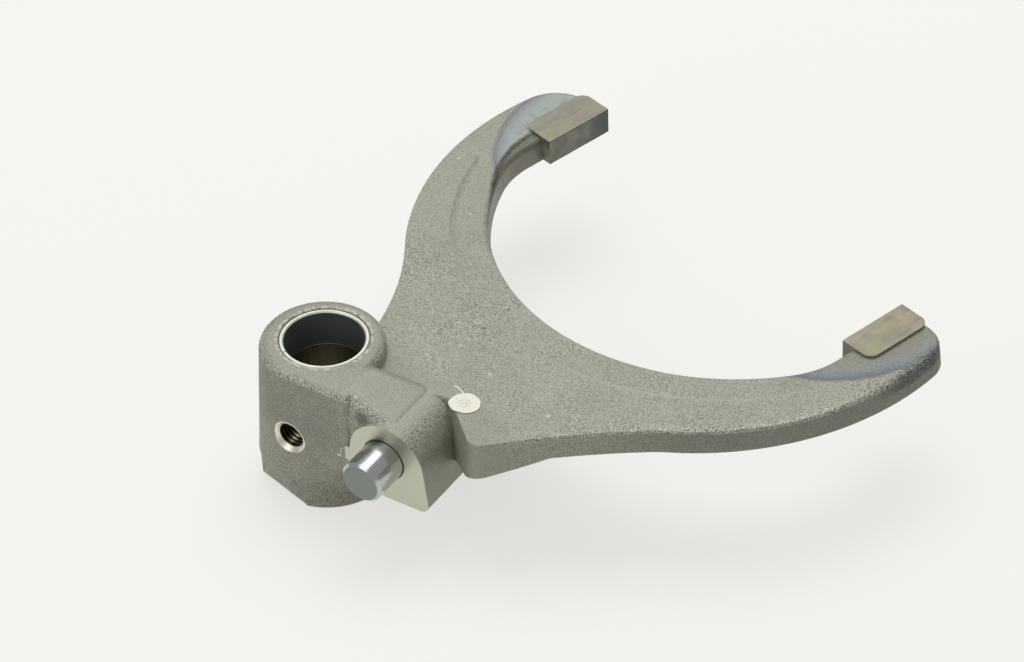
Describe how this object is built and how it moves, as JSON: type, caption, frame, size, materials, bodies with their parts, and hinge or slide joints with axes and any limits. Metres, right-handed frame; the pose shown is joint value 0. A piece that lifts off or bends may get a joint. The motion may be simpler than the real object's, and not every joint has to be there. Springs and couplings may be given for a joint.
{
  "type": "shift fork",
  "caption": "Forged fork that slides on a rail and moves a gearbox collar: bushed hub, web, curved arms with ground pads, and a pin set in a boss.",
  "frame": {"origin": "on the axis of the rail bore, in the mid-plane of the fork arms", "axes": "+Z along the rail bore, out of the hub's bushed top; +Y from the rail towards the open side of the fork; +X towards the arm on the pin's side"},
  "size_m": [0.1832, 0.167, 0.0512],
  "materials": {
    "forged_steel": "shot-blasted forging skin, matte and finely speckled, ground at the pads and milled at the boss face",
    "bush_liner": "dark sliding liner on a steel back, bright at the end ring",
    "ground_steel": "ground and polished"
  },
  "bodies": {
    "root": {"fork_body": "forged_steel", "bush_upper": "bush_liner", "bush_lower": "bush_liner", "selector_pin": "ground_steel"}
  },
  "joints": []
}
